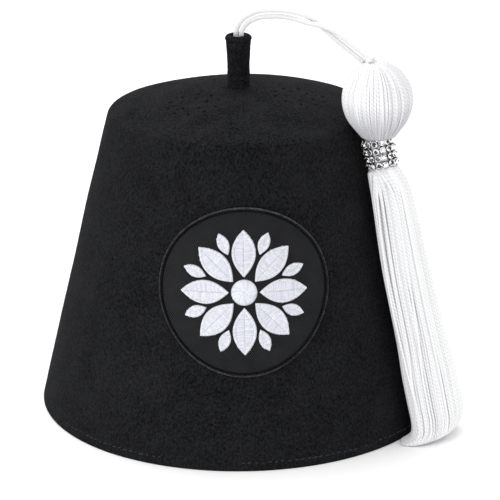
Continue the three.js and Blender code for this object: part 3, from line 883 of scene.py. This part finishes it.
def knot_loops():
    """The tied end over the ball: crossing turns of yarn, a collar and a small tuft."""
    loops = []
    turn = np.linspace(0, TURN, 25)
    for step, (tip, roll) in enumerate(KNOT_TURNS):
        spin = Matrix.Rotation(tip, 3, "X") @ Matrix.Rotation(roll, 3, "Z")
        ring = turned(KNOT_RADIUS, turn, 0) @ np.array(spin).T
        loops.append(tubes([KNOT + step * KNOT_STEP + ring], KNOT_YARN, 8, unit(ring + 1e-6)))
    for back in (1.1, 2.0):
        ring = np.stack([0.53 * np.cos(turn), np.sin(turn), 0.85 * np.cos(turn)], -1) * CORD_DIAMETER / 2
        middle = KNOT + (-0.85 * back, 0, 0.5 * back - 0.5)
        loops.append(tubes([middle + ring], COLLAR_YARN, 8, unit(ring + 1e-6)))
    tuft = []
    root = KNOT + len(KNOT_TURNS) * KNOT_STEP + np.array([0.6, 0, 0.2])
    for _ in range(TUFT_HAIRS):
        lean = unit(np.array([0.45, 0, 1.0]) + 0.5 * rng.standard_normal(3))
        start = root + 0.6 * rng.standard_normal(3)
        reach = rng.uniform(0.8, 2.0)
        bend = 0.5 * rng.standard_normal(3)
        tuft.append([start + lean * reach * t + bend * t * t for t in np.linspace(0, 1, 6)])
    loops.append(tubes(tuft, TUFT_HAIR_RADIUS, 5, (0.01, 1, 0.02)))
    return loops


def make_ball():
    t = np.linspace(-0.995, 0.995, HEAD_STEPS)
    lines, widths = [], []
    for strand in range(HEAD_STRANDS):
        angle = TURN * (strand + 0.14 * rng.standard_normal()) / HEAD_STRANDS
        wave = 0.012 * np.sin(t * rng.uniform(1, 3) + rng.uniform(0, TURN))
        line, radius = head_surface(t, angle + wave, 0.13 * rng.standard_normal() - HEAD_STRAND_INSET)
        lines.append(line)
        widths.append(np.clip(1.2 * math.pi * radius / HEAD_STRANDS, 0.26, 0.6))
    lines = np.array(lines)
    knot = knot_loops()
    strands = tubes(lines, np.array(widths), 7, unit(lines - HEAD_MIDDLE))
    foot = np.clip(-t - 0.1, 0, 1)
    # Painted shade: darker towards the ball's foot, with more spread between strands there
    tone = 0.28 + (0.45 + 0.9 * foot) * rng.random((HEAD_STRANDS, 1)) - HEAD_FOOT_PAINTED_SHADE * foot
    angles = np.arange(48) * TURN / 48
    core = closed(np.stack([head_surface(np.linspace(-1, 1, 40), a, -CORE_INSET)[0] for a in angles], 1))
    points, faces, uv = joined([strands, core, *knot])
    shades = [np.repeat(tone.ravel(), len(strands[0]) // tone.size), np.full(len(core[0]), CORE_SHADE)]
    shades += [np.full(len(loop[0]), KNOT_SHADE) for loop in knot]
    shade = np.concatenate(shades)
    dressed("tassel_ball", "tassel", "rayon", tassel_frame(points), faces, RAYON, uv=uv, shade=shade)


def skirt_at(s):
    """The skirt's section at s, from 0 at its top to 1 at its end: middle, half sizes and tilt."""
    height, stand, width, depth, sweep = (smooth_through(column, s) for column in zip(*SKIRT_SECTIONS))
    z = FLOOR_GAP + height * (SKIRT_TOP - FLOOR_GAP)
    out = wall_radius(z) + (GAP + stand * SKIRT_HALF_DEPTH) / WALL_OUT
    tilt = math.tan(WALL_SLOPE) * np.minimum(1, height / LEVEL_BELOW)
    return out, -sweep * SKIRT_SWEEP, z, width * SKIRT_HALF_WIDTH, depth * SKIRT_HALF_DEPTH, tilt


def skirt_point(s, angle, inset):
    """A point inset mm inside the skirt's outline."""
    out, side, z, half_width, half_depth, tilt = skirt_at(s)
    x = np.maximum(half_depth - inset, 0.1) * np.cos(angle)
    y = np.maximum(half_width - inset, 0.1) * np.sin(angle)
    return np.stack([out + x, side + y, z + tilt * x], -1)


def gathered(angle, s, seed):
    """A smooth sway, from -1 to 1, that strands near each other share."""
    x, y = 2.2 * math.cos(angle), 2.2 * math.sin(angle)
    return np.array([noise.noise(Vector((x, y, 1.6 * t + seed))) for t in s])


def under_band(point):
    """Where a strand that starts at the skirt's top comes out from under the band."""
    middle = np.array([BAND_X, 0, BAND_Z]) - (BAND_HALF - 0.6) * BAND_AXIS
    away = point - middle
    away -= BAND_AXIS * (away @ BAND_AXIS)
    return middle + away * min(1.0, (NECK_RADIUS - STRAND_RADIUS / 2) / np.linalg.norm(away))


def make_skirt():
    lines, outward, shades = [], [], []
    s = np.linspace(0, 1, SKIRT_STEPS)

    def lay(line, tone):
        line[:, 2] = np.maximum(line[:, 2], STRAND_RADIUS + FLOOR_GAP)
        line[0] = under_band(line[0])
        lines.append(line)
        outward.append(line - skirt_point(s, 0.0, 100))
        # Painted shade darkens each strand towards its end at the bottom
        shades.append(tone - END_PAINTED_SHADE * s**8)

    for count, layer_depth in SKIRT_LAYERS:
        for strand in range(count):
            angle = TURN * (strand + 0.22 * rng.standard_normal()) / count
            drift = 0.05 * rng.standard_normal() * s
            drift = drift + 0.02 * np.sin(s * rng.uniform(2, 6) + rng.uniform(0, TURN))
            drifted = angle + drift + 0.09 * s * gathered(angle, s, 0)
            lock = 0.5 * (1 - np.cos(SKIRT_LOCKS * drifted))
            inset = STRAND_RADIUS + layer_depth + LOCK_DEPTH * (1 - lock)
            inset = inset + GATHER_DEPTH * (1 + gathered(angle, s, 9))
            left = max(0.0, -math.sin(angle)) ** 4
            split = 0.5 - 0.5 * np.cos(SPLITS * drifted)
            inset = inset + SPLIT_DEPTH * left * split * np.exp(-((s / 0.4) ** 2))
            inset = inset + STRAND_UNEVEN * rng.standard_normal()
            inset = inset + STRAND_UNEVEN * rng.standard_normal() * np.sin(math.pi * s)
            line = skirt_point(s, drifted, np.maximum(inset, STRAND_RADIUS * 0.9))
            # Painted shade: deeper layers and strands on the left side are darker
            lay(line, 0.65 + 0.4 * rng.random() - LAYER_PAINTED_SHADE * layer_depth - SIDE_PAINTED_SHADE * left)
    for _ in range(LOOSE_STRANDS):
        angle = -math.pi / 2 + 0.34 * rng.standard_normal()
        sway = np.sin(math.pi * np.clip(s * rng.uniform(1.1, 2.4), 0, 1)) ** 2
        drifted = angle + 0.1 * sway * rng.standard_normal()
        line = skirt_point(s, drifted, STRAND_RADIUS - LOOSE_REACH * sway * rng.random())
        # The loose strands, on the left side, get its painted shade
        lay(line, 0.65 + 0.4 * rng.random() - SIDE_PAINTED_SHADE)
    points, faces, uv = tubes(lines, STRAND_RADIUS, STRAND_SIDES, unit(np.array(outward) + 1e-6))
    shade = np.repeat(np.ravel(shades), STRAND_SIDES)
    dressed("tassel_skirt", "tassel", "rayon", tassel_frame(points), faces, RAYON, uv=uv, shade=shade)


# Band: the bound strands under it, and stones in cups, in the band's own axes with z along the tassel
NECK_PAST = 2.0
NECK_SIDES = 40
BAND_FOOT = NECK_RADIUS + GAP + 0.2
STONE_RADIUS = STONE_DIAMETER / 2
CUP = (
    (STONE_RADIUS, BAND_FOOT),
    (STONE_RADIUS, BAND_RADIUS - 0.55),
    (STONE_RADIUS - 0.2, BAND_RADIUS - 0.5),
    (STONE_RADIUS - 0.28, BAND_FOOT),
)
CUP_SIDES = 16
GEM = (
    (STONE_RADIUS - 0.25, BAND_RADIUS - 0.75),
    (STONE_RADIUS - 0.15, BAND_RADIUS - 0.62),
    (0.85, BAND_RADIUS),
    (0.02, BAND_RADIUS),
)
GEM_SIDES = 8
PRONG = (
    (STONE_RADIUS - 0.02, BAND_FOOT + 0.4),
    (STONE_RADIUS - 0.02, BAND_RADIUS - 0.5),
    (STONE_RADIUS - 0.35, BAND_RADIUS - 0.3),
)
PRONGS = 4
PRONG_RADIUS = 0.2
BEAD_REACH = BAND_RADIUS - 0.9
BEAD_RADIUS = 0.5


def band_frame(points):
    """From the band's own axes into the tassel's plane, and on into the hat's frame."""
    c, s = math.cos(WALL_SLOPE), math.sin(WALL_SLOPE)
    x, y, z = np.moveaxis(np.asarray(points, float), -1, 0)
    return tassel_frame(np.stack([BAND_X + c * x - s * z, y, BAND_Z + s * x + c * z], -1))


def make_neck():
    reach = BAND_HALF + NECK_PAST
    profile = [(0.1, -reach), (NECK_RADIUS, -reach), (NECK_RADIUS, reach), (0.1, reach)]
    rings = turned_profile(profile, NECK_SIDES)
    faces = grid(rings)
    looks = {"uv": np.zeros((faces.size, 2)), "shade": np.full(len(profile) * NECK_SIDES, 0.5)}
    dressed("tassel_neck", "tassel", "rayon", band_frame(rings), [faces], RAYON, **looks)


def bead_at(centre):
    up = np.linspace(-math.pi / 2 + 0.2, math.pi / 2 - 0.2, 6)
    points, faces, uv = closed(turned_profile(BEAD_RADIUS * np.stack([np.cos(up), np.sin(up)], -1), 8))
    return points + centre, faces, uv


def band_links():
    """The wires that hold the cups together, row by row and column by column, and the edge beads."""
    turn = np.linspace(0, TURN, 57)
    middle = (BAND_ROWS - 1) / 2
    hoops = [turned(BAND_FOOT, turn, (row - middle) * STONE_PITCH) for row in range(BAND_ROWS)]
    wires, beads = [], []
    for column in range(BAND_COLUMNS):
        a = TURN * column / BAND_COLUMNS
        x, y = BAND_FOOT * math.cos(a), BAND_FOOT * math.sin(a)
        wires.append([(x, y, z) for z in np.linspace(-middle, middle, 9) * STONE_PITCH])
        b = a + math.pi / BAND_COLUMNS
        for z in (-BAND_HALF + 0.25, BAND_HALF - 0.25):
            beads.append(bead_at((BEAD_REACH * math.cos(b), BEAD_REACH * math.sin(b), z)))
    return [tubes(hoops, 0.4, 6, turned(1, turn, 0.01)), tubes(wires, 0.35, 6, (0.01, 0.02, 0.001)), *beads]


def seated(points, turn, lean, height):
    """A cup's or stone's points, from its own axes to its place on the band."""
    pivot = np.array([0, 0, BAND_FOOT])
    leaned = (points - pivot) @ np.array(lean).T + pivot
    return leaned @ np.array(turn).T + (0, 0, height)


def make_band():
    metal = band_links()
    stones, shades = [], []
    cup, gem = turned_profile(CUP, CUP_SIDES), turned_profile(GEM, GEM_SIDES)
    cup_faces, gem_corners = grid(cup, wrap_rows=True), grid(gem)
    for row in range(BAND_ROWS):
        for column in range(BAND_COLUMNS):
            around = TURN * (column + 0.06 * rng.standard_normal()) / BAND_COLUMNS
            height = (row - (BAND_ROWS - 1) / 2) * STONE_PITCH + 0.08 * rng.standard_normal()
            turn = Matrix.Rotation(around, 3, "Z") @ Matrix.Rotation(math.pi / 2, 3, "Y")
            lean = Matrix.Rotation(math.radians(5) * rng.standard_normal(), 3, "X")
            lean = lean @ Matrix.Rotation(math.radians(5) * rng.standard_normal(), 3, "Y")
            seat = turn, lean, height
            metal.append((seated(cup.reshape(-1, 3), *seat), [cup_faces], np.zeros((cup_faces.size, 2))))
            for prong in range(PRONGS):
                a = TURN * (prong + 0.5) / PRONGS
                line = [(r * math.cos(a), r * math.sin(a), z) for r, z in PRONG]
                outward = (0, 0.01, 1) if prong % 2 else (0.01, 0, 1)
                points, faces, uv = tubes([line], PRONG_RADIUS, 6, outward)
                metal.append((seated(points, *seat), faces, uv))
            loose = seated(gem.reshape(-1, 3), *seat)[gem_corners].reshape(-1, 3)
            stones.append((loose, [np.arange(len(loose)).reshape(-1, 4)], np.zeros((len(loose), 2))))
            # Painted reflections: each facet is given a light or dark colour, and the tables of every other
            # column are dark
            light = rng.random((3, GEM_SIDES))
            light[2] = (0.0 if column % 2 else 0.5) + 0.42 * rng.random()
            shades.append(np.repeat(light.ravel(), 4))
    points, faces, _ = joined(metal)
    # Painted shade: the metal is darker the lower it sits, down between the cups
    painted_shade_rise = (np.linalg.norm(points[:, :2], axis=1) - BAND_FOOT) / (BAND_RADIUS - BAND_FOOT)
    made = [("band_cups", points, faces, CUP_METAL, painted_shade_rise)]
    points, faces, _ = joined(stones)
    made.append(("band_stones", points, faces, CRYSTAL, np.concatenate(shades)))
    for name, points, faces, material, shade in made:
        looks = {"smooth": False, "shade": shade}
        dressed(name, "rhinestone_band", "rhinestones", band_frame(points), faces, material, **looks)


make_ball()
make_neck()
make_skirt()
make_band()


# Badge
CLOTH_COLUMNS = 144
CLOTH_MIDDLE = 0.004  # share of the radius where the cloth's rings start
BORDER_STITCHES = 320
BORDER_STEPS = 10
BORDER_SLANT = 0.7
BORDER_THREAD_RADIUS = 0.31
THREAD_WIDTH = 0.38
THREAD_BASE = GAP + GROUND_THICKNESS + 0.05
PAD_HEIGHT = 0.45
EDGE_PITCH = 0.34
EDGE_WIDTH = 1.15
EDGE_HEIGHT = 0.62
CENTRE_STITCHES = 76
CENTRE_SWIRL = 0.5


def on_wall(places):
    """From places on the badge, right, up and out from its middle, to the hat's front wall."""
    right, up, lift = np.moveaxis(np.asarray(places, float), -1, 0)
    z = BADGE_HEIGHT + up * WALL_OUT
    radius = RIM_RADIUS - z * math.tan(WALL_SLOPE)
    angle = np.arcsin(np.clip(right / radius, -1, 1))
    reach = radius + lift * WALL_OUT
    return ovalled(np.stack([reach * np.sin(angle), -reach * np.cos(angle), z + lift * WALL_UP], -1))


def make_ground():
    radius = BADGE_DIAMETER / 2 - BORDER_WIDTH - 0.15
    angle = np.arange(CLOTH_COLUMNS) * TURN / CLOTH_COLUMNS
    front = [(t, GAP + GROUND_THICKNESS) for t in np.linspace(CLOTH_MIDDLE, 1, 40)]
    back = [(t, GAP) for t in np.linspace(1, CLOTH_MIDDLE, 12)[1:]]
    points = np.array([on_wall(turned(radius * t, angle, z)) for t, z in (*front, (1, GAP + 0.1), *back)])
    dressed("badge_cloth", "badge_ground", "badge_twill", points, [grid(points, wrap_rows=True)], TWILL)


def make_border():
    """The overlocked edge: a round bead of close stitches across the patch's edge, with painted shade on
    its inner side and a painted highlight on its outer side.
    """
    middle = BADGE_DIAMETER / 2 - BORDER_WIDTH / 2
    t = np.linspace(-0.25, 1.25, BORDER_STEPS)
    r = middle - (BORDER_WIDTH / 2 - 0.3) * np.cos(math.pi * t)
    lift = GAP + 0.55 + ((BORDER_THICKNESS - 0.1) / 2 + 0.15) * np.sin(math.pi * t)
    angle = TURN * np.arange(BORDER_STITCHES)[:, None] / BORDER_STITCHES + BORDER_SLANT / middle * (t - 0.5)
    lines = on_wall(turned(r, angle, lift))
    points, faces, uv = tubes(lines, BORDER_THREAD_RADIUS, 5, (0.001, -1, 0.2))
    bright = 0.4 + 0.5 * rng.random((BORDER_STITCHES, 1))
    # Painted shade and highlight across the bead: dark on its inner side, light on its outer side
    painted_light_across = np.clip((t - 0.3) / 0.5, 0, 1) ** 1.5
    shade = np.repeat((bright * painted_light_across).ravel(), 5)
    dressed("badge_edge", "badge_border", "badge_border", points, faces, BORDER_THREAD, uv=uv, shade=shade)


def leaf_axes(angle):
    """Directions along and across a leaf at an angle on the badge."""
    c, s = math.cos(angle), math.sin(angle)
    return np.array([c, s]), np.array([-s, c])


def satin_leaf(start, end, width, angle):
    """Stitches across a pointed leaf, in two halves that meet on its middle line."""
    lines = []
    count = int((end - start) / THREAD_WIDTH)
    along, across = leaf_axes(angle)
    for i in range(count):
        t = (i + 0.5) / count
        half = width * 2 * t * (1 - t)
        for sign in (-1, 1):
            line = []
            reach = half + 0.12 * rng.standard_normal()
            for f in np.linspace(0, 1, 7):
                out = sign * f * max(reach, 0.15)
                at = start + (end - start) * t + 0.9 * f * half / width
                lift = THREAD_BASE + PAD_HEIGHT * math.sqrt(max(0.0, 1 - f**2.4)) * min(1, 0.45 + half / 3)
                lift -= 0.16 * math.exp(-((f / 0.12) ** 2))
                line.append((*(along * at + across * out), lift))
            lines.append(line)
    return np.array(lines)


def satin_edge(start, end, width, angle):
    """A raised line of short stitches that follows the leaf's outline."""
    along, across = leaf_axes(angle)
    t = np.linspace(0, 1, 400)[:, None]
    middle, side = along * (start + (end - start) * t), across * width * 2 * t * (1 - t)
    outline = np.concatenate([middle + side, (middle - side)[::-1]])
    length = distances(outline)
    lines = []
    for place in np.arange(0, length[-1], EDGE_PITCH):
        here = np.array([np.interp(place, length, outline[:, i]) for i in (0, 1)])
        there = np.array([np.interp(min(place + 0.2, length[-1]), length, outline[:, i]) for i in (0, 1)])
        forward = unit(there - here + 1e-9)
        inward = np.array([forward[1], -forward[0]])
        line = []
        for f in np.linspace(-0.5, 0.5, 5):
            right, up = here + inward * EDGE_WIDTH * (f + 0.42) + forward * 0.25 * f
            lift = THREAD_BASE + EDGE_HEIGHT * math.sqrt(max(0.0, 1 - (2 * f) ** 2)) + 0.1
            line.append((right, up, lift))
        lines.append(line)
    return np.array(lines)


def make_motif(name, node, *groups):
    made, shades = [], []
    for group in groups:
        made.append(tubes(on_wall(group), THREAD_WIDTH * 0.6, 5, (0.001, -1, 0.26)))
        shades.append(np.repeat(0.5 + 0.4 * rng.random(len(group)), len(made[-1][0]) // len(group)))
    points, faces, uv = joined(made)
    looks = {"uv": uv, "shade": np.concatenate(shades)}
    dressed(name, node, "white_thread", points, faces, WHITE_THREAD, **looks)


def make_rosette():
    for i in range(PETALS):
        angle = math.pi / 2 - TURN * i / PETALS
        for kind, shape, turn in (("petal", PETAL, angle), ("leaf", LEAF, angle - math.pi / PETALS)):
            names = f"{kind}_stitches_{i + 1}", f"rosette_{kind}_{i + 1}"
            make_motif(*names, satin_leaf(*shape, turn), satin_edge(*shape, turn))
    f = np.linspace(0.02, 1, 8)
    angle = TURN * np.arange(CENTRE_STITCHES)[:, None] / CENTRE_STITCHES + CENTRE_SWIRL * f
    lift = THREAD_BASE + PAD_HEIGHT * np.sqrt(1 - f**3)
    make_motif("centre_stitches", "rosette_centre", turned(ROSETTE_CENTRE * f, angle, lift))


make_ground()
make_border()
make_rosette()


# Floor, light and world, in metres and watts
FLOOR_HALF = 4000.0  # mm
FLOOR_WHITE = 0.97
WORLD_STRENGTH = 1.07
AIM = (0, 0, 0.08)
LIGHTS = (  # name, place, size and power
    ("key", (-0.75, -1.0, 1.15), (0.8, 0.8), 3.6),
    ("side", (-1.12, -0.62, 0.09), (0.5, 0.12), 3.6),
    ("top", (-0.1, 0.5, 1.5), (0.9, 0.9), 9.3),
)


def floor_material():
    tree = Tree("floor_paper")
    stops = (0.3, 3 * (FLOOR_WHITE * 0.985,)), (0.7, 3 * (FLOOR_WHITE,))
    tree.set(Base_Color=tree.ramp(tree.noise(6, 2), *stops), Roughness=0.7)
    return tree.material


def add_floor():
    size = FLOOR_HALF
    points = [(-size, -size, 0), (size, -size, 0), (size, size, 0), (-size, size, 0)]
    piece("floor", points, [np.array([[0, 1, 2, 3]])], floor_material())


def add_area(name, place, size, power):
    data = bpy.data.lights.new(name, "AREA")
    data.shape = "RECTANGLE"
    data.size, data.size_y = size
    data.energy = power
    light = bpy.data.objects.new(name, data)
    light.location = place
    light.rotation_euler = (Vector(AIM) - Vector(place)).to_track_quat("-Z", "Y").to_euler()
    bpy.context.scene.collection.objects.link(light)


def add_world():
    world = bpy.data.worlds.new("studio")
    world.use_nodes = True
    background = world.node_tree.nodes["Background"]
    background.inputs["Color"].default_value = (1, 1, 1, 1)
    background.inputs["Strength"].default_value = WORLD_STRENGTH
    bpy.context.scene.world = world
    bpy.context.scene.view_settings.view_transform = "Standard"
    bpy.context.scene.view_settings.look = "None"


add_floor()
add_world()
for light_values in LIGHTS:
    add_area(*light_values)
